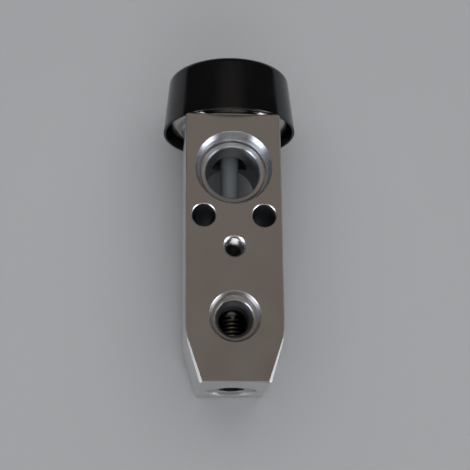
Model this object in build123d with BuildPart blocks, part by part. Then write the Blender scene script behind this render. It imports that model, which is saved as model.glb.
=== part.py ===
from build123d import *
import math
import os

# Block-type thermostatic expansion valve, in millimetres.
# The block lies on its back: Z points out of the face with the ports, Y runs along the valve
# axis towards the power head, and X runs across. The origin lies on the back face, midway
# between the two bolt holes.

# Block
block_width = 27.0
block_depth = 27.0
axis_height = 10.4  # from the back face to the valve axis
head_end = 30.7  # from the bolt holes to the end that carries the power head
foot_end = 46.6  # from the bolt holes to the end that holds the adjusting screw
foot_width = 19.2
taper_length = 13.0
taper_blend = 17.0
corner_radius = 1.0
foot_corner_radius = 0.5
edge_break = 0.35
foot_break = 0.8  # the front face's edge break widens to this along the tapers

# Fixing holes
bolt_spacing = 16.86
bolt_hole_radius = 3.3
bolt_hole_break = 0.2
stud_distance = 9.0  # from the bolt holes to the threaded hole
stud_hole_radius = 2.75  # mean wall of an M6 thread
stud_hole_depth = 9.5
stud_hole_break = 0.45
drill_point = 59.0  # half angle of a drill's point, in degrees

# Suction passage, straight through the block
suction_distance = 14.3
suction_bore_radius = 7.7
suction_port_radius = 10.1
suction_port_depth = 4.3
suction_port_lead = 0.75  # how much wider the port is at the face
suction_port_lead_length = 1.6
port_edge_break = 0.12
suction_relief_inset = 0.3
suction_relief_width = 0.65
suction_relief_depth = 1.3
ledge_break = 0.15
suction_rear_depth = 3.4
bore_edge_break = 0.4

# Liquid inlet in the front face
inlet_distance = 28.7
inlet_port_radius = 6.4
inlet_port_depth = 3.2
inlet_port_lead = 0.65
inlet_port_lead_length = 1.2
inlet_bore_radius = 5.15
inlet_bore_depth = 1.3
inlet_throat_radius = 4.25
inlet_cone_length = 1.5

# Outlet in the back face, above the orifice
outlet_distance = 14.7
outlet_port_radius = 6.9
outlet_port_depth = 3.2
outlet_port_lead = 0.55
outlet_bore_radius = 4.3
outlet_overrun = 2.6  # how far the outlet's wall runs on past the valve axis

# Orifice, seat ring, ball and valve chamber
orifice_radius = 1.9
orifice_length = 1.5
seat_ring_radius = 3.0
seat_ring_height = 0.9
seat_ring_fit = 0.01
ball_radius = 2.4
seat_gap = 0.06  # between the ball and the edge of the seat
valve_lift = 0.8  # how far the stem opens the valve
chamber_radius = 5.8
chamber_cone = 60.0  # half angle of the chamber's end, in degrees

# Ball carrier and its damper ring
carrier_flange_radius = 4.4
carrier_flange_thickness = 0.9
carrier_cup_radius = 2.9
carrier_cup_height = 2.0
carrier_cup_drop = 0.5  # from the ball's centre down to the rim of the cup
carrier_pocket_radius = 0.8
carrier_boss_length = 1.5
damper_thickness = 0.2
damper_leg_angle = 40.0
damper_leg_count = 3
damper_leg_turn = -90.0
damper_leg_drop = 1.9
damper_gap = 0.08

# Valve spring
spring_wire_radius = 0.45
spring_mean_radius = 3.75
spring_turns = 9
spring_end_gap = 0.03
spring_guide_gap = 0.3

# Adjusting screw
screw_thread_radius = 6.93
screw_thread_length = 5.05
screw_thread_clearance = 0.07
screw_recess = 0.55  # from the foot of the block to the face of the screw
screw_mouth_break = 0.35
screw_nose_length = 4.7
screw_nose_clearance = 0.05
screw_stub_length = 1.5
screw_travel = 1.0  # inward travel that the bores leave room for
hex_width = 6.35
hex_depth = 4.15
hex_break = 0.3

# Seal ring of the adjusting screw
screw_ring_cord = 1.42
screw_groove_width = 1.9
screw_groove_land = 0.8

# Sensing shaft, its sleeve and the actuating rod
shaft_radius = 2.0
shaft_clearance = 0.05
shaft_tail = 8.4  # length of the shaft below the suction passage
shaft_tail_room = 0.4  # what stays free below the shaft at full lift
sleeve_radius = 2.7
sleeve_foot_gap = 0.8  # from the bottom of the suction bore to the sleeve
sleeve_head_gap = 2.1  # from the sleeve to the stopper's boss
sleeve_fit = 0.02
rod_radius = 1.2
rod_clearance = 0.05
rod_socket_depth = 2.3

# Seal ring of the shaft and the push nut above it, in the floor of the suction passage
seal_bore_radius = 3.6
seal_bore_depth = 4.0
push_nut_thickness = 0.3
push_nut_dish = 0.35
push_nut_bore_radius = 2.35
push_nut_land = 0.45
push_nut_slots = 6
push_nut_slot_width = 0.45

# All seal rings lie this far from their walls
ring_fit = 0.03

# Edges of the small turned parts
turned_break = 0.3
fine_break = 0.15

# Power head
neck_radius = 7.9
neck_bore_radius = 5.6
neck_length = 5.1
neck_clearance = 0.1
neck_bore_gap = 0.2
head_passage_radius = 5.1
head_ring_cord = 1.2
collar_radius = 10.0  # the collar that seats on the block's end
collar_height = 1.05
hub_radius = 14.2
hub_height = 1.1
valley_radius = 15.7
cover_radius = 17.6
cover_rim_height = 2.85  # from the foot of the hub up to the diaphragm
cover_rim_thickness = 0.9
flange_height = 2.0  # from the inner foot of the flange up to the diaphragm
cover_thickness = 0.9
cover_edge_break = 0.4
bowl_radius = 14.8
bowl_depth = 1.0
recess_radius = 8.6
recess_room = 0.4  # what stays free below the stopper at full lift
diaphragm_radius = 17.3
diaphragm_thickness = 0.2
diaphragm_wave = 0.35
diaphragm_waves = 2
stopper_radius = 8.0
stopper_thickness = 1.7
stopper_boss_radius = 3.4
stopper_boss_length = 1.8
stopper_socket_depth = 1.4
stopper_gap = 0.1
dome_foot_radius = 15.8
dome_flat_radius = 2.9
dome_height = 7.4
fill_hole_radius = 1.0
plug_head_radius = 2.3
plug_head_height = 0.9
plug_head_edge = 0.3
plug_length = 1.3

# Insulating cap
cap_rim_lift = 0.25  # from the block's end to the rim
cap_rim_gap = 1.35  # from the power head out to the wall, at the rim
cap_length = 17.2
cap_draft = 1.8
cap_wall = 0.8
cap_end_wall = 1.0
cap_edge_radius = 1.8
cap_inner_edge_radius = 1.0
cap_rim_round = 0.25
cap_rib_width = 1.6
cap_rib_angles = (55.0, 125.0, 235.0, 305.0)
cap_rib_fit = 0.05
cap_rib_height = 8.0
cap_snap_reach = 0.45
cap_snap_height = 0.7
cap_ledge_reach = 0.9
cap_ledge_height = 1.2

# Places along the valve axis, worked out from the sizes above
taper_top = taper_length - foot_end
suction_floor = suction_distance - suction_bore_radius
seal_floor = suction_floor - seal_bore_depth
shaft_foot = suction_floor - shaft_tail
guide_floor = shaft_foot - valve_lift - shaft_tail_room
outlet_y = -outlet_distance
inlet_y = -inlet_distance
seat_y = outlet_y - outlet_bore_radius - orifice_length
ball_y = seat_y - math.sqrt((ball_radius + seat_gap) ** 2 - orifice_radius ** 2)
chamber_top = seat_y - (chamber_radius - seat_ring_radius) / math.tan(math.radians(chamber_cone))
carrier_top = ball_y - carrier_cup_drop
carrier_flange_top = carrier_top - carrier_cup_height
spring_top = carrier_flange_top - carrier_flange_thickness
spring_guide_radius = spring_mean_radius - spring_wire_radius - spring_guide_gap
screw_face = screw_recess - foot_end
screw_thread_top = screw_face + screw_thread_length
screw_nose_top = screw_thread_top + screw_nose_length
thread_bore_top = screw_thread_top + screw_travel + shaft_tail_room
screw_nose_radius = chamber_radius - screw_nose_clearance
groove_top = screw_nose_top - screw_groove_land
groove_foot = groove_top - screw_groove_width
groove_radius = chamber_radius - screw_ring_cord - 2 * ring_fit
neck_foot = head_end - neck_length
head_ring_recess = neck_radius + head_ring_cord + 2 * ring_fit
hub_foot = head_end + collar_height
valley_floor = hub_foot + hub_height
cover_top = hub_foot + cover_rim_height
flange_foot = cover_top - flange_height
stopper_top = cover_top - stopper_gap
stopper_foot = stopper_top - stopper_thickness
recess_floor = stopper_foot - valve_lift - recess_room
shaft_top = stopper_foot + stopper_socket_depth - ring_fit
dome_foot = cover_top + diaphragm_thickness
dome_flange_top = dome_foot + cover_thickness
dome_top = dome_foot + dome_height
cap_rim = head_end + cap_rim_lift
cap_end = cap_rim + cap_length
cap_floor = cap_end - cap_end_wall
cap_rim_radius = cover_radius + cap_rim_gap + cap_wall
cap_far_radius = cap_rim_radius - cap_draft
cap_taper = cap_draft / cap_length

# Planes and axes
section = Plane.XY.offset(axis_height)  # X is the radius and Y the place along the valve axis
valve_axis = Axis((0, 0, axis_height), (0, 1, 0))

os.makedirs("parts", exist_ok=True)


def save(piece, name):
    piece.part.label = name
    export_step(piece.part, "parts/" + name + ".step")


def port_axis(y):
    return Axis((0, y, 0), (0, 0, 1))


def port_section(y):
    return Plane.XZ.offset(-y)


def radial_plane(angle):
    turn = math.radians(angle)
    outward = (math.cos(turn), 0, math.sin(turn))
    return Plane(origin=(0, 0, axis_height), x_dir=outward, z_dir=(-math.sin(turn), 0, math.cos(turn)))


def cap_inner_radius(y):
    return cap_rim_radius - cap_wall - cap_taper * (y - cap_rim)


def cone_depth(radius):
    return radius / math.tan(math.radians(drill_point))


# Valve block: an extruded outline with its bores turned out of it
with BuildPart() as valve_block:
    with BuildSketch(Plane.XY) as outline:
        with BuildLine():
            Polyline(
                (-block_width / 2, head_end),
                (block_width / 2, head_end),
                (block_width / 2, taper_top),
                (foot_width / 2, -foot_end),
                (-foot_width / 2, -foot_end),
                (-block_width / 2, taper_top),
                close=True,
            )
        make_face()
        fillet(outline.vertices().group_by(Axis.Y)[1], taper_blend)
        fillet(outline.vertices().group_by(Axis.Y)[-1], corner_radius)
        fillet(outline.vertices().group_by(Axis.Y)[0], foot_corner_radius)
    extrude(amount=block_depth)
    front_and_back = valve_block.faces().sort_by(Axis.Z)
    chamfer(front_and_back[0].edges() + front_and_back[-1].edges(), edge_break)
    for side in (-1, 1):
        foot_point = Vector(side * (foot_width / 2 - foot_break), -foot_end, block_depth)
        lower_point = Vector(side * foot_width / 2, -foot_end, block_depth - foot_break)
        start_point = Vector(side * (block_width / 2 - edge_break), taper_top, block_depth)
        outward = (lower_point - foot_point).cross(start_point - foot_point) * side
        split(bisect_by=Plane(origin=foot_point, z_dir=outward), keep=Keep.BOTTOM)

    # suction passage with a counterbored port at each face and a relief at the front one's foot
    port_mouth_radius = suction_port_radius + suction_port_lead
    port_floor = block_depth - suction_port_depth
    relief_floor = port_floor - suction_relief_depth
    relief_outer_radius = suction_port_radius - suction_relief_inset
    ledge_radius = relief_outer_radius - suction_relief_width
    with BuildSketch(port_section(suction_distance)):
        with BuildLine():
            Polyline(
                (0, block_depth),
                (port_mouth_radius + port_edge_break, block_depth),
                (port_mouth_radius, block_depth - port_edge_break),
                (suction_port_radius, block_depth - suction_port_lead_length),
                (suction_port_radius, port_floor),
                (relief_outer_radius, port_floor),
                (relief_outer_radius, relief_floor),
                (ledge_radius, relief_floor),
                (ledge_radius, port_floor - ledge_break),
                (ledge_radius - ledge_break, port_floor),
                (suction_bore_radius + bore_edge_break, port_floor),
                (suction_bore_radius, port_floor - bore_edge_break),
                (suction_bore_radius, suction_rear_depth + bore_edge_break),
                (suction_bore_radius + bore_edge_break, suction_rear_depth),
                (suction_port_radius, suction_rear_depth),
                (suction_port_radius, suction_port_lead_length),
                (port_mouth_radius, port_edge_break),
                (port_mouth_radius + port_edge_break, 0),
                (0, 0),
                close=True,
            )
        make_face()
    revolve(axis=port_axis(suction_distance), mode=Mode.SUBTRACT)

    # liquid inlet, from the front face into the valve chamber
    inlet_mouth_radius = inlet_port_radius + inlet_port_lead
    inlet_floor = block_depth - inlet_port_depth
    inlet_cone_top = inlet_floor - inlet_bore_depth
    with BuildSketch(port_section(inlet_y)):
        with BuildLine():
            Polyline(
                (0, block_depth),
                (inlet_mouth_radius + port_edge_break, block_depth),
                (inlet_mouth_radius, block_depth - port_edge_break),
                (inlet_port_radius, block_depth - inlet_port_lead_length),
                (inlet_port_radius, inlet_floor),
                (inlet_bore_radius + bore_edge_break, inlet_floor),
                (inlet_bore_radius, inlet_floor - bore_edge_break),
                (inlet_bore_radius, inlet_cone_top),
                (inlet_throat_radius, inlet_cone_top - inlet_cone_length),
                (inlet_throat_radius, axis_height),
                (0, axis_height),
                close=True,
            )
        make_face()
    revolve(axis=port_axis(inlet_y), mode=Mode.SUBTRACT)

    # outlet, from the back face to the space above the orifice
    outlet_end = axis_height + outlet_overrun
    with BuildSketch(port_section(outlet_y)):
        with BuildLine():
            Polyline(
                (0, 0),
                (outlet_port_radius + outlet_port_lead, 0),
                (outlet_port_radius, outlet_port_lead),
                (outlet_port_radius, outlet_port_depth),
                (outlet_bore_radius + bore_edge_break, outlet_port_depth),
                (outlet_bore_radius, outlet_port_depth + bore_edge_break),
                (outlet_bore_radius, outlet_end),
                (0, outlet_end + cone_depth(outlet_bore_radius)),
                close=True,
            )
        make_face()
    revolve(axis=port_axis(outlet_y), mode=Mode.SUBTRACT)

    # stepped bore along the valve axis, from the head end down to the foot
    neck_hole_radius = neck_radius + neck_clearance
    head_recess_floor = head_end - head_ring_cord - 2 * ring_fit
    guide_radius = shaft_radius + shaft_clearance
    seat_hole_radius = seat_ring_radius + seat_ring_fit
    seat_hole_top = seat_y + seat_ring_height + seat_ring_fit
    thread_hole_radius = screw_thread_radius + screw_thread_clearance
    with BuildSketch(section):
        with BuildLine():
            Polyline(
                (0, head_end),
                (head_ring_recess, head_end),
                (head_ring_recess, head_recess_floor),
                (neck_hole_radius, head_recess_floor),
                (neck_hole_radius, neck_foot - neck_bore_gap),
                (head_passage_radius, neck_foot - neck_bore_gap),
                (head_passage_radius, suction_distance),
                (seal_bore_radius, suction_distance),
                (seal_bore_radius, seal_floor),
                (guide_radius, seal_floor),
                (guide_radius, guide_floor),
                (rod_radius + rod_clearance, guide_floor),
                (rod_radius + rod_clearance, outlet_y),
                (orifice_radius, outlet_y),
                (orifice_radius, seat_hole_top),
                (seat_hole_radius, seat_hole_top),
                (seat_hole_radius, seat_y),
                (chamber_radius, chamber_top),
                (chamber_radius, thread_bore_top),
                (thread_hole_radius, thread_bore_top),
                (thread_hole_radius, screw_mouth_break - foot_end),
                (thread_hole_radius + screw_mouth_break, -foot_end),
                (0, -foot_end),
                close=True,
            )
        make_face()
    revolve(axis=valve_axis, mode=Mode.SUBTRACT)

    # two bolt holes right through
    with BuildSketch(Plane.XY):
        with GridLocations(bolt_spacing, 1, 2, 1):
            Circle(bolt_hole_radius)
    extrude(amount=block_depth, mode=Mode.SUBTRACT)
    round_edges = valve_block.edges().filter_by(GeomType.CIRCLE)
    bolt_rims = round_edges.filter_by(lambda edge: abs(edge.arc_center.Y) < 0.001)
    bolt_wall = (block_width - bolt_spacing) / 2 - bolt_hole_radius
    chamfer(bolt_rims, min(bolt_hole_break, bolt_wall / 2))

    # blind threaded hole between them
    stud_floor = block_depth - stud_hole_depth
    with BuildSketch(port_section(-stud_distance)):
        with BuildLine():
            Polyline(
                (0, block_depth),
                (stud_hole_radius + stud_hole_break, block_depth),
                (stud_hole_radius, block_depth - stud_hole_break),
                (stud_hole_radius, stud_floor),
                (0, stud_floor - cone_depth(stud_hole_radius)),
                close=True,
            )
        make_face()
    revolve(axis=port_axis(-stud_distance), mode=Mode.SUBTRACT)
save(valve_block, "valve_block")


# Insulating cap: a tapered moulded cup with four snap ribs that grip the rim of the power head
with BuildPart() as insulating_cap:
    with BuildSketch(section):
        with BuildLine():
            Polyline(
                (cap_rim_radius, cap_rim),
                (cap_far_radius, cap_end),
                (0, cap_end),
                (0, cap_floor),
                (cap_inner_radius(cap_floor), cap_floor),
                (cap_inner_radius(cap_rim), cap_rim),
                close=True,
            )
        make_face()
    revolve(axis=valve_axis)
    rings = insulating_cap.edges().filter_by(GeomType.CIRCLE).group_by(Axis.Y)
    fillet(rings[-1], cap_edge_radius)
    rings = insulating_cap.edges().filter_by(GeomType.CIRCLE)
    fillet(rings.filter_by(lambda ring: abs(ring.center().Y - cap_floor) < 0.001), cap_inner_edge_radius)
    rings = insulating_cap.edges().filter_by(GeomType.CIRCLE).group_by(Axis.Y)
    fillet(rings[0], cap_rim_round)

    grip = cover_radius + cap_rib_fit
    ledge = grip - cap_ledge_reach
    snap = grip - cap_snap_reach
    snap_top = cover_top - cover_rim_thickness - cover_edge_break
    ledge_foot = dome_flange_top + cap_rib_fit
    rib_top = ledge_foot + cap_rib_height
    for angle in cap_rib_angles:
        with BuildSketch(radial_plane(angle)):
            with BuildLine():
                Polyline(
                    (grip, snap_top - cap_snap_height),
                    (snap, snap_top - cap_snap_height / 2),
                    (snap, snap_top),
                    (grip, snap_top),
                    (grip, ledge_foot),
                    (ledge, ledge_foot),
                    (ledge, ledge_foot + cap_ledge_height),
                    (cap_inner_radius(rib_top) + turned_break, rib_top),
                    (cap_inner_radius(snap_top) + turned_break, snap_top - cap_snap_height),
                    close=True,
                )
            make_face()
        extrude(amount=cap_rib_width / 2, both=True)
save(insulating_cap, "insulating_cap")


# Lower cover of the power head, turned in one piece with its hub, collar and threaded neck
with BuildPart() as head_lower_cover:
    bowl_floor = cover_top - bowl_depth
    with BuildSketch(section):
        with BuildLine():
            Polyline(
                (neck_bore_radius, neck_foot),
                (neck_radius - turned_break, neck_foot),
                (neck_radius, neck_foot + turned_break),
                (neck_radius, head_end),
                (collar_radius, head_end),
                (collar_radius, hub_foot),
                (hub_radius - turned_break, hub_foot),
                (hub_radius, hub_foot + turned_break),
                (hub_radius, valley_floor),
                (valley_radius, valley_floor),
                (valley_radius, flange_foot),
                (cover_radius - cover_edge_break, cover_top - cover_rim_thickness - cover_edge_break),
                (cover_radius, cover_top - cover_rim_thickness),
                (cover_radius, cover_top),
                (bowl_radius, cover_top),
                (bowl_radius - cover_edge_break, bowl_floor),
                (recess_radius, bowl_floor),
                (recess_radius, recess_floor),
                (neck_bore_radius, recess_floor),
                close=True,
            )
        make_face()
    revolve(axis=valve_axis)
save(head_lower_cover, "head_lower_cover")


# Upper cover: a pressed dome with a flat top round the filling hole
with BuildPart() as head_upper_cover:
    dome_inside = dome_top - cover_thickness
    with BuildSketch(section):
        with BuildLine():
            Polyline(
                (dome_foot_radius - cover_thickness, dome_foot),
                (cover_radius, dome_foot),
                (cover_radius, dome_flange_top),
                (dome_foot_radius, dome_flange_top),
            )
            TangentArc(
                (dome_flat_radius, dome_top),
                (dome_foot_radius, dome_flange_top),
                tangent=(1, 0),
            )
            Polyline(
                (dome_flat_radius, dome_top),
                (fill_hole_radius, dome_top),
                (fill_hole_radius, dome_inside),
                (dome_flat_radius, dome_inside),
            )
            TangentArc(
                (dome_flat_radius, dome_inside),
                (dome_foot_radius - cover_thickness, dome_foot),
                tangent=(1, 0),
            )
        make_face()
    revolve(axis=valve_axis)
save(head_upper_cover, "head_upper_cover")


# Diaphragm: a thin disc with rings pressed into it between its clamped rim and its flat middle
with BuildPart() as diaphragm:
    wave_start = stopper_radius + diaphragm_wave
    wave_end = bowl_radius - diaphragm_wave
    wave_steps = 8 * diaphragm_waves
    wave = []
    for step in range(wave_steps + 1):
        along = step / wave_steps
        dip = diaphragm_wave * (1 - math.cos(2 * math.pi * diaphragm_waves * along)) / 2
        wave.append((wave_start + (wave_end - wave_start) * along, cover_top - dip))
    lower = [(0, cover_top)] + wave + [(diaphragm_radius, cover_top)]
    upper = [(r, y + diaphragm_thickness) for r, y in reversed(lower)]
    with BuildSketch(section):
        with BuildLine():
            Polyline(*lower, *upper, close=True)
        make_face()
    revolve(axis=valve_axis)
save(diaphragm, "diaphragm")


# Stopper: the disc between the diaphragm and the shaft, with a boss that holds the shaft
with BuildPart() as diaphragm_stopper:
    boss_foot = stopper_foot - stopper_boss_length
    socket_top = shaft_top + ring_fit
    with BuildSketch(section):
        with BuildLine():
            Polyline(
                (0, socket_top),
                (shaft_radius + sleeve_fit, socket_top),
                (shaft_radius + sleeve_fit, boss_foot),
                (stopper_boss_radius - turned_break, boss_foot),
                (stopper_boss_radius, boss_foot + turned_break),
                (stopper_boss_radius, stopper_foot),
                (stopper_radius - turned_break, stopper_foot),
                (stopper_radius, stopper_foot + turned_break),
                (stopper_radius, stopper_top - turned_break),
                (stopper_radius - turned_break, stopper_top),
                (0, stopper_top),
                close=True,
            )
        make_face()
    revolve(axis=valve_axis)
save(diaphragm_stopper, "diaphragm_stopper")


# Plug that closes the filling hole in the dome
with BuildPart() as fill_plug:
    with BuildSketch(section):
        with BuildLine():
            Polyline(
                (0, dome_top + plug_head_height),
                (0, dome_top - plug_length),
                (fill_hole_radius - turned_break, dome_top - plug_length),
                (fill_hole_radius, dome_top - plug_length + turned_break),
                (fill_hole_radius, dome_top),
                (plug_head_radius, dome_top),
                (plug_head_radius, dome_top + plug_head_edge),
            )
            TangentArc(
                (0, dome_top + plug_head_height),
                (plug_head_radius, dome_top + plug_head_edge),
                tangent=(1, 0),
            )
        make_face()
    revolve(axis=valve_axis)
save(fill_plug, "fill_plug")


# Seal ring between the power head and the block
with BuildPart() as head_o_ring:
    with BuildSketch(section):
        middle = head_ring_cord / 2 + ring_fit
        with Locations((neck_radius + middle, head_end - middle)):
            Circle(head_ring_cord / 2)
    revolve(axis=valve_axis)
save(head_o_ring, "head_o_ring")


# Sensing shaft, from the stopper down to its guide bore, with a socket for the rod in its foot
with BuildPart() as sensing_shaft:
    socket_radius = rod_radius + sleeve_fit
    with BuildSketch(section):
        with BuildLine():
            Polyline(
                (socket_radius, shaft_foot),
                (shaft_radius - turned_break, shaft_foot),
                (shaft_radius, shaft_foot + turned_break),
                (shaft_radius, shaft_top - turned_break),
                (shaft_radius - turned_break, shaft_top),
                (0, shaft_top),
                (0, shaft_foot + rod_socket_depth),
                (socket_radius, shaft_foot + rod_socket_depth),
                close=True,
            )
        make_face()
    revolve(axis=valve_axis)
save(sensing_shaft, "sensing_shaft")


# Resin sleeve that slows the shaft's response where it crosses the suction passage
with BuildPart() as shaft_sleeve:
    sleeve_foot = suction_floor + sleeve_foot_gap
    sleeve_top = stopper_foot - stopper_boss_length - sleeve_head_gap
    with BuildSketch(section):
        with BuildLine():
            Polyline(
                (shaft_radius + sleeve_fit, sleeve_foot),
                (sleeve_radius - fine_break, sleeve_foot),
                (sleeve_radius, sleeve_foot + fine_break),
                (sleeve_radius, sleeve_top - fine_break),
                (sleeve_radius - fine_break, sleeve_top),
                (shaft_radius + sleeve_fit, sleeve_top),
                close=True,
            )
        make_face()
    revolve(axis=valve_axis)
save(shaft_sleeve, "shaft_sleeve")


# Seal ring round the shaft, below the floor of the suction passage
with BuildPart() as shaft_o_ring:
    ring_inner = shaft_radius + shaft_clearance
    ring_outer = seal_bore_radius - ring_fit
    ring_radius = (ring_outer - ring_inner) / 2
    with BuildSketch(section):
        with Locations(((ring_outer + ring_inner) / 2, seal_floor + ring_fit + ring_radius)):
            Circle(ring_radius)
    revolve(axis=valve_axis)
save(shaft_o_ring, "shaft_o_ring")


# Push nut: a dished sprung washer with slots, pressed into the bore over the seal ring
with BuildPart() as shaft_push_nut:
    nut_foot = seal_floor + 2 * ring_fit + 2 * ring_radius
    nut_bend = seal_bore_radius - push_nut_land
    with BuildSketch(section):
        with BuildLine():
            Polyline(
                (push_nut_bore_radius, nut_foot),
                (nut_bend, nut_foot),
                (seal_bore_radius, nut_foot + push_nut_dish),
                (seal_bore_radius, nut_foot + push_nut_dish + push_nut_thickness),
                (nut_bend, nut_foot + push_nut_thickness),
                (push_nut_bore_radius, nut_foot + push_nut_thickness),
                close=True,
            )
        make_face()
    revolve(axis=valve_axis)
    slot_length = nut_bend - push_nut_bore_radius
    with BuildSketch(Plane(origin=(0, nut_foot, axis_height), x_dir=(1, 0, 0), z_dir=(0, 1, 0))):
        with PolarLocations(push_nut_bore_radius + slot_length / 2 - fine_break, push_nut_slots):
            Rectangle(slot_length, push_nut_slot_width)
    extrude(amount=push_nut_thickness, mode=Mode.SUBTRACT)
save(shaft_push_nut, "shaft_push_nut")


# Actuating rod, from its socket in the shaft down through the orifice to the ball
with BuildPart() as actuating_rod:
    rod_top = shaft_foot + rod_socket_depth - sleeve_fit
    rod_foot = ball_y + ball_radius
    with BuildSketch(section):
        with BuildLine():
            Polyline(
                (0, rod_foot),
                (rod_radius - fine_break, rod_foot),
                (rod_radius, rod_foot + fine_break),
                (rod_radius, rod_top - fine_break),
                (rod_radius - fine_break, rod_top),
                (0, rod_top),
                close=True,
            )
        make_face()
    revolve(axis=valve_axis)
save(actuating_rod, "actuating_rod")


# Hardened seat ring, pressed into the top of the valve chamber round the orifice
with BuildPart() as seat_ring:
    with BuildSketch(section):
        with BuildLine():
            Polyline(
                (orifice_radius, seat_y),
                (seat_ring_radius, seat_y),
                (seat_ring_radius, seat_y + seat_ring_height),
                (orifice_radius, seat_y + seat_ring_height),
                close=True,
            )
        make_face()
    revolve(axis=valve_axis)
save(seat_ring, "seat_ring")


# Valve ball
with BuildPart() as valve_ball:
    with BuildSketch(section):
        with BuildLine():
            CenterArc((0, ball_y), ball_radius, -90, 180)
            Line((0, ball_y + ball_radius), (0, ball_y - ball_radius))
        make_face()
    revolve(axis=valve_axis)
save(valve_ball, "valve_ball")


# Ball carrier: a cup with a conical pocket, a flange for the spring and a boss that centres it
with BuildPart() as ball_carrier:
    pocket_apex = ball_y - ball_radius * math.sqrt(2)
    boss_end = spring_top - carrier_boss_length
    with BuildSketch(section):
        with BuildLine():
            Polyline(
                (0, boss_end),
                (spring_guide_radius - turned_break, boss_end),
                (spring_guide_radius, boss_end + turned_break),
                (spring_guide_radius, spring_top),
                (carrier_flange_radius, spring_top),
                (carrier_flange_radius, carrier_flange_top),
                (carrier_cup_radius, carrier_flange_top),
                (carrier_cup_radius, carrier_top),
                (carrier_top - pocket_apex, carrier_top),
                (carrier_pocket_radius, pocket_apex + carrier_pocket_radius),
                (0, pocket_apex + carrier_pocket_radius),
                close=True,
            )
        make_face()
    revolve(axis=valve_axis)
save(ball_carrier, "ball_carrier")


# Damper ring: a thin ring on the carrier whose bent legs rub on the chamber's wall
with BuildPart() as damper_ring:
    ring_top = carrier_flange_top + damper_thickness
    with BuildSketch(section):
        with BuildLine():
            Polyline(
                (carrier_cup_radius, carrier_flange_top),
                (carrier_flange_radius, carrier_flange_top),
                (carrier_flange_radius, ring_top),
                (carrier_cup_radius, ring_top),
                close=True,
            )
        make_face()
    revolve(axis=valve_axis)
    leg_reach = chamber_radius - damper_gap
    leg_knee = carrier_flange_top - 2 * damper_thickness
    leg_foot = carrier_flange_top - damper_leg_drop
    for leg in range(damper_leg_count):
        leg_start = damper_leg_turn + 360.0 * leg / damper_leg_count - damper_leg_angle / 2
        with BuildSketch(radial_plane(leg_start)):
            with BuildLine():
                Polyline(
                    (carrier_flange_radius - damper_thickness, carrier_flange_top),
                    (leg_reach - 2 * damper_thickness, carrier_flange_top),
                    (leg_reach - damper_thickness, leg_knee),
                    (leg_reach - 2 * damper_thickness, leg_foot),
                    (leg_reach - damper_thickness, leg_foot),
                    (leg_reach, leg_knee),
                    (leg_reach - damper_thickness, ring_top),
                    (carrier_flange_radius - damper_thickness, ring_top),
                    close=True,
                )
            make_face()
        revolve(axis=valve_axis, revolution_arc=-damper_leg_angle)
save(damper_ring, "damper_ring")


# Valve spring: a round-wire helix ground flat at both ends
with BuildPart() as valve_spring:
    spring_foot = screw_nose_top + spring_end_gap
    spring_length = spring_top - spring_end_gap - spring_foot
    spring_pitch = (spring_length - spring_wire_radius) / spring_turns
    with BuildLine() as coil:
        Helix(
            pitch=spring_pitch,
            height=spring_pitch * spring_turns,
            radius=spring_mean_radius,
            center=(0, spring_foot + spring_wire_radius / 2, axis_height),
            direction=(0, 1, 0),
        )
    with BuildSketch(Plane(origin=coil.line @ 0, z_dir=coil.line % 0)):
        Circle(spring_wire_radius)
    sweep(path=coil.line, is_frenet=True)
    with Locations((0, spring_foot + spring_length / 2, axis_height)):
        Box(4 * spring_mean_radius, spring_length, 4 * spring_mean_radius, mode=Mode.INTERSECT)
save(valve_spring, "valve_spring")


# Adjusting screw: threaded body with a hex socket, a grooved nose and a stub for the spring
with BuildPart() as adjusting_screw:
    stub_top = screw_nose_top + screw_stub_length
    with BuildSketch(section):
        with BuildLine():
            Polyline(
                (0, screw_face),
                (screw_thread_radius - turned_break, screw_face),
                (screw_thread_radius, screw_face + turned_break),
                (screw_thread_radius, screw_thread_top - turned_break),
                (screw_thread_radius - turned_break, screw_thread_top),
                (screw_nose_radius, screw_thread_top),
                (screw_nose_radius, groove_foot),
                (groove_radius, groove_foot),
                (groove_radius, groove_top),
                (screw_nose_radius, groove_top),
                (screw_nose_radius, screw_nose_top - turned_break),
                (screw_nose_radius - turned_break, screw_nose_top),
                (spring_guide_radius, screw_nose_top),
                (spring_guide_radius, stub_top - turned_break),
                (spring_guide_radius - turned_break, stub_top),
                (0, stub_top),
                close=True,
            )
        make_face()
    revolve(axis=valve_axis)
    with BuildSketch(Plane(origin=(0, screw_face, axis_height), x_dir=(1, 0, 0), z_dir=(0, -1, 0))):
        RegularPolygon(hex_width / 2, 6, major_radius=False)
    extrude(amount=-hex_depth, mode=Mode.SUBTRACT)
    lead_radius = hex_width / math.sqrt(3) + hex_break
    with BuildSketch(section):
        with BuildLine():
            Polyline((0, screw_face), (lead_radius, screw_face), (0, screw_face + lead_radius), close=True)
        make_face()
    revolve(axis=valve_axis, mode=Mode.SUBTRACT)
save(adjusting_screw, "adjusting_screw")


# Seal ring in the groove of the adjusting screw
with BuildPart() as screw_o_ring:
    with BuildSketch(section):
        with Locations((groove_radius + ring_fit + screw_ring_cord / 2, (groove_foot + groove_top) / 2)):
            Circle(screw_ring_cord / 2)
    revolve(axis=valve_axis)
save(screw_o_ring, "screw_o_ring")
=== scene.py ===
import math

import bmesh
import bpy
from mathutils import Matrix, Vector


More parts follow.
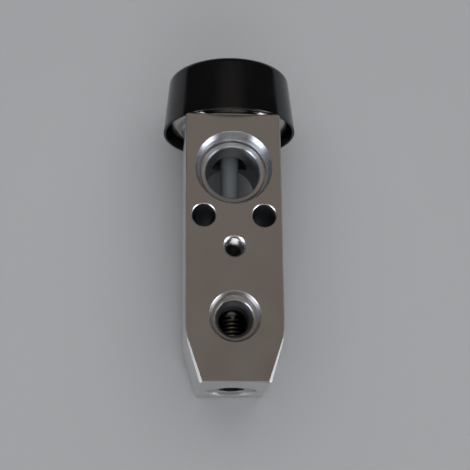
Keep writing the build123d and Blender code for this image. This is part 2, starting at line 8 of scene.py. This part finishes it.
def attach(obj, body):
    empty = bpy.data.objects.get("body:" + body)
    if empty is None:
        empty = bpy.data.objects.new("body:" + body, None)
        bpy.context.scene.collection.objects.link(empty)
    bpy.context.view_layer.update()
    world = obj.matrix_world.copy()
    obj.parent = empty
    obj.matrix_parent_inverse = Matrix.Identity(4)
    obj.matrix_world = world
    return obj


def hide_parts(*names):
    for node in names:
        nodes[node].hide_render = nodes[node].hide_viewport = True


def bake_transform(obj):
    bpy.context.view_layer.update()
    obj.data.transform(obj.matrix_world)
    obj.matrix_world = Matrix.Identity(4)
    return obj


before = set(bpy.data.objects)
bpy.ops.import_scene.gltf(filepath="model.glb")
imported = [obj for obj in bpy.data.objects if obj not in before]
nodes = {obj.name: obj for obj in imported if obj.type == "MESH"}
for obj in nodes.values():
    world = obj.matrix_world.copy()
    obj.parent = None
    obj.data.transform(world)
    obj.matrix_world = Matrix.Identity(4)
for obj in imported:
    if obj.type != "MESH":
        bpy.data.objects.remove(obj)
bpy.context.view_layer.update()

# Real sizes of the valve, in metres, where the frame doesn't give them
mm = 0.001
block_depth = 27.0 * mm
axis_height = 10.4 * mm  # from the back face to the valve axis
foot_end = -46.6 * mm
suction_place = 14.3 * mm
suction_bore_radius = 7.7 * mm
inlet_place = -28.7 * mm
inlet_bore_radius = 5.15 * mm
bolt_hole_place = 8.43 * mm
bolt_hole_radius = 3.3 * mm

# Where one finish or painted shade gives way to another. These follow the edges to about a tenth
# of a millimetre and are no sizes of the valve.
suction_rough_shade_depth = 4.2 * mm  # below the front face, from where the drilled wall is rougher and darkened with painted shade
inlet_rough_shade_depth = 3.3 * mm
bolt_rough_shade_depth = 0.25 * mm
stud_rough_shade_depth = 0.5 * mm
suction_port_reach = 11.2 * mm  # from the middle out to the end of the turned surfaces
inlet_port_reach = 7.4 * mm
socket_reach = 3.75 * mm  # from the axis out to the end of the painted shade in the socket
socket_mouth = -46.0 * mm

# The threaded hole, with a standard 60 degree thread
stud_place = -9.0 * mm
stud_wall_radius = 2.75 * mm
stud_crest_radius = 2.46 * mm
stud_pitch = 1.0 * mm
stud_thread_foot = 17.9 * mm
stud_thread_top = 26.3 * mm
root_half_width = 0.316  # in pitches
crest_half_width = 0.125  # in pitches
root_sink = 0.04 * mm  # how deep the foot of a ridge lies in the wall
faded_sink = 0.03 * mm  # how deep its crest lies in the wall where the thread ends
thread_steps = 48  # a turn

# The valve spring
spring_wire_radius = 0.45 * mm
spring_mean_radius = 3.75 * mm
spring_turns = 9
spring_start = math.radians(90)
spring_hand = -1
spring_steps = 32  # a turn
wire_corners = 16
wire_edge_angle = math.radians(40)  # sharper edges are those of the ground ends

# The photograph's camera, fitted to the outline of the block and its holes
camera_place = (-21.96 * mm, -91.34 * mm, 302.58 * mm)
camera_turn = math.radians(14.49)
camera_dip = math.radians(72.22)
camera_roll = math.radians(14.59)
camera_reach = 1048.0  # focal length in the photograph's pixels
photo_width = 470
sensor_width = 36.0
nearest_seen = 0.01
farthest_seen = 20.0

# The valve lies on the rim of its cap and on the back edge of its foot
rest_foot = Vector((0, foot_end, 0))
rest_cap = Vector((0, 31.2 * mm, -9.35 * mm))
floor_gap = 0.02 * mm
floor_half_width = 1.6

# The studio: a dim warm ceiling over a dark room, a soft lamp above the head end, low windows at
# the sides and one in front. A lamp either lights matt surfaces, shows in gloss, or both.
ceiling_middle = (0.0, -0.1, 0.995)
ceiling_edge = (0.6, 0.88)  # cosines from its middle at which it starts and is full
ceiling_near = "#54493F"
ceiling_far = "#A49A91"
ceiling_change = (0.1, 0.45)  # where it turns from the near tone to the far one
room_colour = "#262628"
lamp_distance = 1.2
lamps = {
    "overhead_softbox": {
        "towards": (0.0, 0.4, 0.92),
        "size": (3.2, 3.2),
        "power": 29.0,
        "colour": "#FFFFFF",
        "lights_matt": True,
        "mirrored": False,
    },
    "right_window": {
        "towards": (0.86, -0.48, 0.2),
        "size": (0.6, 0.35),
        "power": 9.0,
        "colour": "#EEF4FF",
        "lights_matt": False,
        "mirrored": True,
    },
    "left_window": {
        "towards": (-0.78, -0.56, 0.3),
        "size": (0.6, 0.35),
        "power": 9.0,
        "colour": "#EEF4FF",
        "lights_matt": False,
        "mirrored": True,
    },
    "front_window": {
        "towards": (0.05, -0.72, 0.69),
        "size": (0.9, 0.5),
        "power": 2.7,
        "colour": "#FFFFFF",
        "lights_matt": True,
        "mirrored": True,
    },
}

# Places of the mix node's sockets, whose names are the same for numbers and for colours
mix_share = 0
first_number = 2
second_number = 3
first_colour = 6
second_colour = 7
mixed_number = 0
mixed_colour = 2


def linear(hex_colour):
    """An sRGB hex colour as linear RGBA."""
    channels = [int(hex_colour[i : i + 2], 16) / 255 for i in (1, 3, 5)]
    return [c / 12.92 if c <= 0.04045 else ((c + 0.055) / 1.055) ** 2.4 for c in channels] + [1.0]


def add_node(tree, kind, settings=None, links=None, values=None):
    """Adds a shader node with its settings, the links into it and the values of its sockets."""
    node = tree.nodes.new(kind)
    for name, value in (settings or {}).items():
        setattr(node, name, value)
    for name, value in (values or {}).items():
        node.inputs[name].default_value = value
    for name, source in (links or {}).items():
        tree.links.new(source, node.inputs[name])
    return node


def new_material(name):
    """A material with its tree and its surface shader."""
    material = bpy.data.materials.new(name)
    material.use_nodes = True
    return material, material.node_tree, material.node_tree.nodes["Principled BSDF"]


# Extruded aluminium with milled faces, drilled passages and turned ports. The milled faces are a
# satin grey that blurs what they mirror, the turned ports have fine rings, the suction port's turned
# walls get a painted highlight in a lighter tone, and the drilled walls are rougher and darkened a
# little way in with painted shade.
def milled_aluminium():
    port_wall_reach = 0.15 * mm  # how far past a wall its finish still counts
    hole_wall_reach = 0.05 * mm
    face_skin = 0.02 * mm  # keeps the ports' finish off the milled front face
    ring_spacing = 0.4 * mm
    mill_spacing = 0.3 * mm
    mottle_width = 0.5 * mm
    cloud_width = 8 * mm

    material, tree, surface = new_material("milled_aluminium")
    place = add_node(tree, "ShaderNodeTexCoord").outputs["Object"]
    apart = add_node(tree, "ShaderNodeSeparateXYZ", links={"Vector": place})
    side = add_node(
        tree, "ShaderNodeMath", {"operation": "ABSOLUTE"}, {0: apart.outputs["X"]}
    ).outputs[0]

    # how far a point lies from the middle of each hole, and whether that is in its drilled part,
    # which is rougher and carries painted shade
    suction_top = block_depth - suction_rough_shade_depth
    inlet_top = block_depth - inlet_rough_shade_depth
    bolt_top = block_depth - bolt_rough_shade_depth
    stud_top = block_depth - stud_rough_shade_depth
    inside = []
    for centre, across, radius, top in (
        ((0, suction_place), apart.outputs["X"], suction_bore_radius + port_wall_reach, suction_top),
        ((0, inlet_place), apart.outputs["X"], inlet_bore_radius + port_wall_reach, inlet_top),
        ((bolt_hole_place, 0), side, bolt_hole_radius + hole_wall_reach, bolt_top),
        ((0, stud_place), apart.outputs["X"], stud_wall_radius + hole_wall_reach, stud_top),
    ):
        flat = add_node(tree, "ShaderNodeCombineXYZ", links={"X": across, "Y": apart.outputs["Y"]})
        reach = add_node(
            tree,
            "ShaderNodeVectorMath",
            {"operation": "DISTANCE"},
            {0: flat.outputs[0]},
            {1: (centre[0], centre[1], 0)},
        ).outputs["Value"]
        near = add_node(tree, "ShaderNodeMath", {"operation": "LESS_THAN"}, {0: reach}, {1: radius})
        below = add_node(
            tree, "ShaderNodeMath", {"operation": "LESS_THAN"}, {0: apart.outputs["Z"]}, {1: top}
        )
        both = add_node(
            tree,
            "ShaderNodeMath",
            {"operation": "MULTIPLY"},
            {0: near.outputs[0], 1: below.outputs[0]},
        )
        inside.append(both.outputs[0])
    rough_shaded_bore = inside[0]
    for mask in inside[1:]:
        rough_shaded_bore = add_node(
            tree, "ShaderNodeMath", {"operation": "MAXIMUM"}, {0: rough_shaded_bore, 1: mask}
        ).outputs[0]

    # the distance from the middle of the nearer port
    head_side = add_node(
        tree, "ShaderNodeMath", {"operation": "GREATER_THAN"}, {0: apart.outputs["Y"]}, {1: 0.0}
    )
    centre = add_node(
        tree,
        "ShaderNodeMapRange",
        links={"Value": head_side.outputs[0]},
        values={"To Min": inlet_place, "To Max": suction_place},
    )
    middle = add_node(tree, "ShaderNodeCombineXYZ", links={"Y": centre.outputs[0]})
    flat = add_node(
        tree, "ShaderNodeCombineXYZ", links={"X": apart.outputs["X"], "Y": apart.outputs["Y"]}
    )
    reach = add_node(
        tree,
        "ShaderNodeVectorMath",
        {"operation": "DISTANCE"},
        {0: flat.outputs[0], 1: middle.outputs[0]},
    ).outputs["Value"]

    # the tool's rings run round each port, so its lights are drawn out along the port's profile
    port_reach = add_node(
        tree,
        "ShaderNodeMapRange",
        links={"Value": head_side.outputs[0]},
        values={"To Min": inlet_port_reach, "To Max": suction_port_reach},
    )
    in_port = add_node(
        tree, "ShaderNodeMath", {"operation": "LESS_THAN"}, {0: reach, 1: port_reach.outputs[0]}
    )
    under_face = add_node(
        tree,
        "ShaderNodeMath",
        {"operation": "LESS_THAN"},
        {0: apart.outputs["Z"]},
        {1: block_depth - face_skin},
    )
    turned = add_node(
        tree,
        "ShaderNodeMath",
        {"operation": "MULTIPLY"},
        {0: in_port.outputs[0], 1: under_face.outputs[0]},
    )
    port_stretch = add_node(
        tree,
        "ShaderNodeMapRange",
        links={"Value": head_side.outputs[0]},
        values={"To Min": 0.5, "To Max": 0.85},
    )
    drawn_out = add_node(
        tree,
        "ShaderNodeMath",
        {"operation": "MULTIPLY"},
        {0: turned.outputs[0], 1: port_stretch.outputs[0]},
    )
    tree.links.new(drawn_out.outputs[0], surface.inputs["Anisotropic"])
    outward = add_node(
        tree,
        "ShaderNodeVectorMath",
        {"operation": "SUBTRACT"},
        {0: flat.outputs[0], 1: middle.outputs[0]},
    )
    round_axis = add_node(
        tree,
        "ShaderNodeVectorMath",
        {"operation": "CROSS_PRODUCT"},
        {0: outward.outputs[0]},
        {1: (0, 0, 1)},
    )
    tree.links.new(round_axis.outputs[0], surface.inputs["Tangent"])
    surface.inputs["Anisotropic Rotation"].default_value = 0.25

    # rings left by the turning tool, 0.15 mm apart on the real ports and drawn coarser to show
    ring_place = add_node(
        tree, "ShaderNodeCombineXYZ", links={"X": reach, "Z": apart.outputs["Z"]}
    )
    rings = add_node(
        tree,
        "ShaderNodeTexNoise",
        links={"Vector": ring_place.outputs[0]},
        values={"Scale": 1 / ring_spacing, "Detail": 1.0},
    )

    # the face mill's marks, drawn out across the block
    mill_place = add_node(
        tree, "ShaderNodeVectorMath", {"operation": "MULTIPLY"}, {0: place}, {1: (0.05, 1.0, 1.0)}
    )
    marks = add_node(
        tree,
        "ShaderNodeTexNoise",
        links={"Vector": mill_place.outputs[0]},
        values={"Scale": 1 / mill_spacing, "Detail": 2.0},
    )

    # handling leaves cloudy patches, and the alloy has a fine mottle
    cloud = add_node(
        tree,
        "ShaderNodeTexNoise",
        links={"Vector": place},
        values={"Scale": 1 / cloud_width, "Detail": 4.0},
    )
    mottle = add_node(
        tree,
        "ShaderNodeTexNoise",
        links={"Vector": place},
        values={"Scale": 1 / mottle_width, "Detail": 2.0},
    )
    patch = add_node(
        tree,
        "ShaderNodeMath",
        {"operation": "MULTIPLY_ADD"},
        {0: mottle.outputs["Fac"], 2: cloud.outputs["Fac"]},
        {1: 0.35},
    )
    milled = add_node(tree, "ShaderNodeMix", {"data_type": "RGBA"}, {mix_share: patch.outputs[0]})
    milled.inputs[first_colour].default_value = linear("#C6C3BF")
    milled.inputs[second_colour].default_value = linear("#D2D0CD")
    # painted highlight: a lighter tone on the suction port's turned walls, standing in for the light
    # they catch
    painted_light_suction_port = add_node(
        tree,
        "ShaderNodeMath",
        {"operation": "MULTIPLY"},
        {0: turned.outputs[0], 1: head_side.outputs[0]},
    )
    painted_light_port_tone = add_node(
        tree,
        "ShaderNodeMix",
        {"data_type": "RGBA"},
        {mix_share: painted_light_suction_port.outputs[0], first_colour: milled.outputs[mixed_colour]},
    )
    painted_light_port_tone.inputs[second_colour].default_value = linear("#DFE1E4")
    # painted shade: the drilled walls are darkened a little way in
    tone = add_node(
        tree,
        "ShaderNodeMix",
        {"data_type": "RGBA"},
        {mix_share: rough_shaded_bore, first_colour: painted_light_port_tone.outputs[mixed_colour]},
    )
    tone.inputs[second_colour].default_value = linear("#94979B")
    tree.links.new(tone.outputs[mixed_colour], surface.inputs["Base Color"])
    surface.inputs["Metallic"].default_value = 1.0

    satin = add_node(
        tree,
        "ShaderNodeMapRange",
        links={"Value": cloud.outputs["Fac"]},
        values={"From Min": 0.3, "From Max": 0.7, "To Min": 0.36, "To Max": 0.42},
    )
    rough = add_node(
        tree,
        "ShaderNodeMix",
        {"data_type": "FLOAT"},
        {mix_share: rough_shaded_bore, first_number: satin.outputs[0]},
        {second_number: 0.5},
    )
    tree.links.new(rough.outputs[mixed_number], surface.inputs["Roughness"])

    height = add_node(
        tree,
        "ShaderNodeMath",
        {"operation": "ADD"},
        {0: marks.outputs["Fac"], 1: rings.outputs["Fac"]},
    )
    relief = add_node(
        tree,
        "ShaderNodeBump",
        links={"Height": height.outputs[0]},
        values={"Strength": 0.25, "Distance": 0.01 * mm},
    )
    tree.links.new(relief.outputs["Normal"], surface.inputs["Normal"])
    return material


# Black polypropylene from a polished mould. It has a deep black body under a clear gloss, with the
# slow waviness of a thin moulded wall, about 9 mm from crest to crest, in its reflections.
def moulded_polypropylene():
    wave_width = 9 * mm
    material, tree, surface = new_material("moulded_polypropylene")
    place = add_node(tree, "ShaderNodeTexCoord").outputs["Object"]
    flow = add_node(
        tree,
        "ShaderNodeTexNoise",
        links={"Vector": place},
        values={"Scale": 1 / wave_width, "Detail": 2.0},
    )
    tone = add_node(
        tree, "ShaderNodeMix", {"data_type": "RGBA"}, {mix_share: flow.outputs["Fac"]}
    )
    tone.inputs[first_colour].default_value = linear("#0B0B0C")
    tone.inputs[second_colour].default_value = linear("#111113")
    tree.links.new(tone.outputs[mixed_colour], surface.inputs["Base Color"])
    surface.inputs["IOR"].default_value = 1.49
    handled = add_node(
        tree,
        "ShaderNodeMapRange",
        links={"Value": flow.outputs["Fac"]},
        values={"From Min": 0.3, "From Max": 0.7, "To Min": 0.12, "To Max": 0.2},
    )
    tree.links.new(handled.outputs[0], surface.inputs["Roughness"])
    relief = add_node(
        tree,
        "ShaderNodeBump",
        links={"Height": flow.outputs["Fac"]},
        values={"Strength": 0.3, "Distance": 0.12 * mm},
    )
    tree.links.new(relief.outputs["Normal"], surface.inputs["Normal"])
    return material


def metal_with_marks(name, tones, roughness, spacing, stretch, depth):
    """A bare metal with tool marks at a spacing; a stretch below 1 draws them out along an axis."""
    material, tree, surface = new_material(name)
    place = add_node(tree, "ShaderNodeTexCoord").outputs["Object"]
    drawn = add_node(
        tree, "ShaderNodeVectorMath", {"operation": "MULTIPLY"}, {0: place}, {1: stretch}
    )
    marks = add_node(
        tree,
        "ShaderNodeTexNoise",
        links={"Vector": drawn.outputs[0]},
        values={"Scale": 1 / spacing, "Detail": 3.0},
    )
    tone = add_node(
        tree, "ShaderNodeMix", {"data_type": "RGBA"}, {mix_share: marks.outputs["Fac"]}
    )
    tone.inputs[first_colour].default_value = linear(tones[0])
    tone.inputs[second_colour].default_value = linear(tones[1])
    tree.links.new(tone.outputs[mixed_colour], surface.inputs["Base Color"])
    surface.inputs["Metallic"].default_value = 1.0
    worn = add_node(
        tree,
        "ShaderNodeMapRange",
        links={"Value": marks.outputs["Fac"]},
        values={
            "From Min": 0.3,
            "From Max": 0.7,
            "To Min": roughness[0],
            "To Max": roughness[1],
        },
    )
    tree.links.new(worn.outputs[0], surface.inputs["Roughness"])
    relief = add_node(
        tree,
        "ShaderNodeBump",
        links={"Height": marks.outputs["Fac"]},
        values={"Strength": 0.3, "Distance": depth},
    )
    tree.links.new(relief.outputs["Normal"], surface.inputs["Normal"])
    return material


def paint_socket_shade(material):
    """Paints shade into the screw's metal inside its hex socket, darkening it."""
    tree = material.node_tree
    surface = tree.nodes["Principled BSDF"]
    bare = surface.inputs["Base Color"].links[0].from_socket
    place = add_node(tree, "ShaderNodeTexCoord").outputs["Object"]
    apart = add_node(tree, "ShaderNodeSeparateXYZ", links={"Vector": place})
    flat = add_node(
        tree, "ShaderNodeCombineXYZ", links={"X": apart.outputs["X"], "Y": apart.outputs["Z"]}
    )
    reach = add_node(
        tree,
        "ShaderNodeVectorMath",
        {"operation": "DISTANCE"},
        {0: flat.outputs[0]},
        {1: (0, axis_height, 0)},
    ).outputs["Value"]
    near = add_node(
        tree, "ShaderNodeMath", {"operation": "LESS_THAN"}, {0: reach}, {1: socket_reach}
    )
    deep = add_node(
        tree,
        "ShaderNodeMath",
        {"operation": "GREATER_THAN"},
        {0: apart.outputs["Y"]},
        {1: socket_mouth},
    )
    socket = add_node(
        tree, "ShaderNodeMath", {"operation": "MULTIPLY"}, {0: near.outputs[0], 1: deep.outputs[0]}
    )
    tone = add_node(
        tree,
        "ShaderNodeMix",
        {"data_type": "RGBA"},
        {mix_share: socket.outputs[0], first_colour: bare},
    )
    # painted shade: a dark tone inside the socket
    tone.inputs[second_colour].default_value = linear("#2E2F31")
    tree.links.new(tone.outputs[mixed_colour], surface.inputs["Base Color"])


# Nitrile rubber from a mould: black, matt and slightly sheened, with a fine grain
def moulded_nitrile():
    grain_width = 0.25 * mm
    material, tree, surface = new_material("moulded_nitrile_rubber")
    place = add_node(tree, "ShaderNodeTexCoord").outputs["Object"]
    grain = add_node(
        tree,
        "ShaderNodeTexNoise",
        links={"Vector": place},
        values={"Scale": 1 / grain_width, "Detail": 3.0},
    )
    tone = add_node(
        tree, "ShaderNodeMix", {"data_type": "RGBA"}, {mix_share: grain.outputs["Fac"]}
    )
    tone.inputs[first_colour].default_value = linear("#141416")
    tone.inputs[second_colour].default_value = linear("#222224")
    tree.links.new(tone.outputs[mixed_colour], surface.inputs["Base Color"])
    surface.inputs["IOR"].default_value = 1.52
    surface.inputs["Roughness"].default_value = 0.6
    relief = add_node(
        tree,
        "ShaderNodeBump",
        links={"Height": grain.outputs["Fac"]},
        values={"Strength": 0.3, "Distance": 0.02 * mm},
    )
    tree.links.new(relief.outputs["Normal"], surface.inputs["Normal"])
    return material


# Grey polyamide, extruded as a tube and cut to length: matt, with faint lines along its length
def extruded_polyamide():
    line_spacing = 0.35 * mm
    material, tree, surface = new_material("extruded_polyamide")
    place = add_node(tree, "ShaderNodeTexCoord").outputs["Object"]
    drawn = add_node(
        tree, "ShaderNodeVectorMath", {"operation": "MULTIPLY"}, {0: place}, {1: (1.0, 0.04, 1.0)}
    )
    lines = add_node(
        tree,
        "ShaderNodeTexNoise",
        links={"Vector": drawn.outputs[0]},
        values={"Scale": 1 / line_spacing, "Detail": 2.0},
    )
    tone = add_node(
        tree, "ShaderNodeMix", {"data_type": "RGBA"}, {mix_share: lines.outputs["Fac"]}
    )
    tone.inputs[first_colour].default_value = linear("#767C81")
    tone.inputs[second_colour].default_value = linear("#82888C")
    tree.links.new(tone.outputs[mixed_colour], surface.inputs["Base Color"])
    surface.inputs["IOR"].default_value = 1.53
    surface.inputs["Roughness"].default_value = 0.55
    relief = add_node(
        tree,
        "ShaderNodeBump",
        links={"Height": lines.outputs["Fac"]},
        values={"Strength": 0.2, "Distance": 0.02 * mm},
    )
    tree.links.new(relief.outputs["Normal"], surface.inputs["Normal"])
    return material


block_metal = milled_aluminium()
cap_plastic = moulded_polypropylene()
ring_rubber = moulded_nitrile()
sleeve_resin = extruded_polyamide()

# The real marks on these metals are finer; they are drawn as coarse as they need to show.

# Stainless sheet, pressed and tumbled: an even satin with a fine grain that runs with the rolling
pressed_steel = metal_with_marks(
    "pressed_stainless_steel",
    tones=("#B6B4B0", "#C8C6C2"),
    roughness=(0.18, 0.26),
    spacing=0.5 * mm,
    stretch=(0.15, 1.0, 1.0),
    depth=0.008 * mm,
)
# Stainless rod, ground between wheels: bright, with fine rings round it
ground_steel = metal_with_marks(
    "ground_stainless_steel",
    tones=("#BDBBB7", "#CCCAC6"),
    roughness=(0.16, 0.24),
    spacing=0.3 * mm,
    stretch=(0.05, 1.0, 0.05),
    depth=0.004 * mm,
)
# Aluminium bar turned on a lathe: a pale satin with the tool's rings round it
turned_aluminium = metal_with_marks(
    "turned_aluminium",
    tones=("#C4C3C1", "#D4D3D1"),
    roughness=(0.28, 0.38),
    spacing=0.35 * mm,
    stretch=(0.05, 1.0, 0.05),
    depth=0.01 * mm,
)
# Spring wire and strip, drawn bright: darker than sheet steel, with a film of oil
drawn_steel = metal_with_marks(
    "drawn_spring_steel",
    tones=("#9C9A96", "#B0AEAA"),
    roughness=(0.2, 0.3),
    spacing=0.4 * mm,
    stretch=(1.0, 1.0, 1.0),
    depth=0.006 * mm,
)
# Aluminium screw turned from bar: satin on its face, with painted shade darkening the broached
# socket
screw_metal = metal_with_marks(
    "turned_and_broached_aluminium",
    tones=("#A9AAAB", "#B9B9B9"),
    roughness=(0.3, 0.4),
    spacing=0.35 * mm,
    stretch=(0.05, 1.0, 0.05),
    depth=0.01 * mm,
)
paint_socket_shade(screw_metal)
# Bearing steel, lapped to a mirror: its surface shows only the faintest mottle
lapped_steel = metal_with_marks(
    "lapped_bearing_steel",
    tones=("#C6C6C6", "#D0D0D0"),
    roughness=(0.05, 0.08),
    spacing=0.6 * mm,
    stretch=(1.0, 1.0, 1.0),
    depth=0.001 * mm,
)
# Aluminium cut by a tap: bright flanks, torn a little, that catch the light in short arcs
thread_metal = metal_with_marks(
    "tapped_aluminium",
    tones=("#CCCED0", "#DADBDC"),
    roughness=(0.2, 0.3),
    spacing=0.3 * mm,
    stretch=(1.0, 1.0, 1.0),
    depth=0.01 * mm,
)

finishes = {
    "valve_block": block_metal,
    "insulating_cap": cap_plastic,
    "head_lower_cover": pressed_steel,
    "head_upper_cover": pressed_steel,
    "diaphragm": pressed_steel,
    "diaphragm_stopper": turned_aluminium,
    "fill_plug": ground_steel,
    "head_o_ring": ring_rubber,
    "sensing_shaft": turned_aluminium,
    "shaft_sleeve": sleeve_resin,
    "shaft_o_ring": ring_rubber,
    "shaft_push_nut": drawn_steel,
    "actuating_rod": ground_steel,
    "seat_ring": ground_steel,
    "valve_ball": lapped_steel,
    "ball_carrier": ground_steel,
    "damper_ring": drawn_steel,
    "valve_spring": drawn_steel,
    "adjusting_screw": screw_metal,
    "screw_o_ring": ring_rubber,
}
for name, finish in finishes.items():
    nodes[name].data.materials.clear()
    nodes[name].data.materials.append(finish)


def closed_piece(name, sections, metal):
    """A piece of one metal through a row of sections that have the same number of corners."""
    shape = bmesh.new()
    rings = [[shape.verts.new(corner) for corner in section] for section in sections]
    for lower, upper in zip(rings, rings[1:]):
        for i in range(len(lower)):
            j = (i + 1) % len(lower)
            shape.faces.new((lower[i], upper[i], upper[j], lower[j]))
    shape.faces.new(rings[0])
    shape.faces.new(list(reversed(rings[-1])))
    bmesh.ops.recalc_face_normals(shape, faces=shape.faces)
    mesh = bpy.data.meshes.new(name)
    shape.to_mesh(mesh)
    shape.free()
    mesh.materials.append(metal)
    piece = bpy.data.objects.new(name, mesh)
    bpy.context.scene.collection.objects.link(piece)
    return piece


def stud_thread():
    """The ridges of the threaded hole, a helix that fades out at both ends."""
    turns = (stud_thread_top - stud_thread_foot) / stud_pitch
    steps = round(turns * thread_steps)
    root = stud_wall_radius + root_sink
    faded_crest = stud_wall_radius + faded_sink
    sections = []
    for step in range(steps + 1):
        angle = 2 * math.pi * step / thread_steps
        height = stud_thread_foot + (stud_thread_top - stud_thread_foot) * step / steps
        fade = min(1.0, step / thread_steps, (steps - step) / thread_steps)
        crest = faded_crest - (faded_crest - stud_crest_radius) * fade
        profile = (
            (root, -root_half_width * stud_pitch),
            (crest, -crest_half_width * stud_pitch),
            (crest, crest_half_width * stud_pitch),
            (root, root_half_width * stud_pitch),
        )
        sections.append(
            [
                (reach * math.cos(angle), stud_place + reach * math.sin(angle), height + rise)
                for reach, rise in profile
            ]
        )
    piece = closed_piece("stud_thread", sections, thread_metal)
    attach(piece, "body")


def spring_half(name, first_turn, last_turn):
    """Part of the valve spring, on the solid's helix; the solid spring is hidden."""
    spring_foot, spring_top = spring_span
    pitch = (spring_top - spring_foot - spring_wire_radius) / spring_turns
    sections = []
    for step in range(round((last_turn - first_turn) * spring_steps) + 1):
        turn = first_turn + step / spring_steps
        angle = spring_start + spring_hand * 2 * math.pi * turn
        middle = spring_foot + spring_wire_radius / 2 + pitch * turn
        section = []
        for i in range(wire_corners):
            part = 2 * math.pi * i / wire_corners
            reach = spring_mean_radius + spring_wire_radius * math.cos(part)
            along = middle + spring_wire_radius * math.sin(part)
            ground = min(max(along, spring_foot), spring_top)
            section.append((reach * math.cos(angle), ground, axis_height + reach * math.sin(angle)))
        sections.append(section)
    piece = closed_piece(name, sections, drawn_steel)
    piece.data.shade_smooth()
    piece.data.set_sharp_from_angle(angle=wire_edge_angle)
    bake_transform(piece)
    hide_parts("valve_spring")


# The spring is drawn as two halves: the turns below its middle and those above
solid_spring = nodes["valve_spring"]
spring_corners = [solid_spring.matrix_world @ Vector(corner) for corner in solid_spring.bound_box]
spring_span = (
    min(corner.y for corner in spring_corners),
    max(corner.y for corner in spring_corners),
)
spring_half(
    "valve_spring_screw_end",
    0,
    spring_turns / 2,
)
spring_half(
    "valve_spring_stem_end",
    spring_turns / 2,
    spring_turns,
)
stud_thread()


def photo_camera():
    """The camera at the photograph's place and angle."""
    forward = Vector((
        math.sin(camera_turn) * math.cos(camera_dip),
        math.cos(camera_turn) * math.cos(camera_dip),
        -math.sin(camera_dip),
    ))
    side = Vector((math.cos(camera_turn), -math.sin(camera_turn), 0))
    rise = side.cross(forward)
    right = side * math.cos(camera_roll) + rise * math.sin(camera_roll)
    up = rise * math.cos(camera_roll) - side * math.sin(camera_roll)
    turn = Matrix((right, up, -forward)).transposed().to_4x4()
    data = bpy.data.cameras.new("photo_camera")
    data.sensor_width = sensor_width
    data.lens = sensor_width * camera_reach / photo_width
    data.clip_start = nearest_seen
    data.clip_end = farthest_seen
    camera = bpy.data.objects.new("photo_camera", data)
    camera.matrix_world = Matrix.Translation(camera_place) @ turn
    bpy.context.scene.collection.objects.link(camera)
    bpy.context.scene.camera = camera


def floor():
    """A plain pale sheet just under the rim of the cap and the foot of the block."""
    along = (rest_cap - rest_foot).normalized()
    across = Vector((1, 0, 0))
    normal = across.cross(along)
    base = rest_foot - normal * floor_gap
    corners = [
        base + across * (floor_half_width * i) + along * (floor_half_width * j)
        for i, j in ((-1, -1), (1, -1), (1, 1), (-1, 1))
    ]
    mesh = bpy.data.meshes.new("floor")
    mesh.from_pydata(corners, [], [(0, 1, 2, 3)])
    ground = bpy.data.objects.new("floor", mesh)
    bpy.context.scene.collection.objects.link(ground)
    material, tree, surface = new_material("pale_backdrop_paper")
    surface.inputs["Base Color"].default_value = linear("#B2B5B9")
    surface.inputs["Roughness"].default_value = 0.9
    mesh.materials.append(material)


def soft_lamp(name, towards, size, power, colour, lights_matt, mirrored):
    """A rectangular lamp that faces the valve."""
    place = Vector(towards).normalized() * lamp_distance
    data = bpy.data.lights.new(name, "AREA")
    data.shape = "RECTANGLE"
    data.size = size[0]
    data.size_y = size[1]
    data.energy = power
    data.color = linear(colour)[:3]
    lamp = bpy.data.objects.new(name, data)
    lamp.location = place
    lamp.rotation_mode = "QUATERNION"
    lamp.rotation_quaternion = (-place).to_track_quat("-Z", "Y")
    lamp.visible_diffuse = lights_matt
    lamp.visible_glossy = mirrored
    bpy.context.scene.collection.objects.link(lamp)


def studio():
    """The room's light from all round, and the lamps."""
    world = bpy.data.worlds.new("studio")
    bpy.context.scene.world = world
    world.use_nodes = True
    tree = world.node_tree
    direction = add_node(tree, "ShaderNodeTexCoord").outputs["Generated"]
    upward = add_node(
        tree,
        "ShaderNodeVectorMath",
        {"operation": "DOT_PRODUCT"},
        {0: direction},
        {1: ceiling_middle},
    )
    share = add_node(
        tree,
        "ShaderNodeMapRange",
        {"interpolation_type": "SMOOTHSTEP"},
        {"Value": upward.outputs["Value"]},
        {"From Min": ceiling_edge[0], "From Max": ceiling_edge[1]},
    )
    along = add_node(tree, "ShaderNodeSeparateXYZ", links={"Vector": direction}).outputs["Y"]
    towards_head = add_node(
        tree,
        "ShaderNodeMapRange",
        links={"Value": along},
        values={"From Min": ceiling_change[0], "From Max": ceiling_change[1]},
    )
    ceiling = add_node(
        tree, "ShaderNodeMix", {"data_type": "RGBA"}, {mix_share: towards_head.outputs[0]}
    )
    ceiling.inputs[first_colour].default_value = linear(ceiling_near)
    ceiling.inputs[second_colour].default_value = linear(ceiling_far)
    tone = add_node(
        tree,
        "ShaderNodeMix",
        {"data_type": "RGBA"},
        {mix_share: share.outputs["Result"], second_colour: ceiling.outputs[mixed_colour]},
    )
    tone.inputs[first_colour].default_value = linear(room_colour)
    tree.links.new(tone.outputs[mixed_colour], tree.nodes["Background"].inputs["Color"])
    for name, settings in lamps.items():
        soft_lamp(name, **settings)


photo_camera()
floor()
studio()
bpy.context.scene.view_settings.view_transform = "Standard"
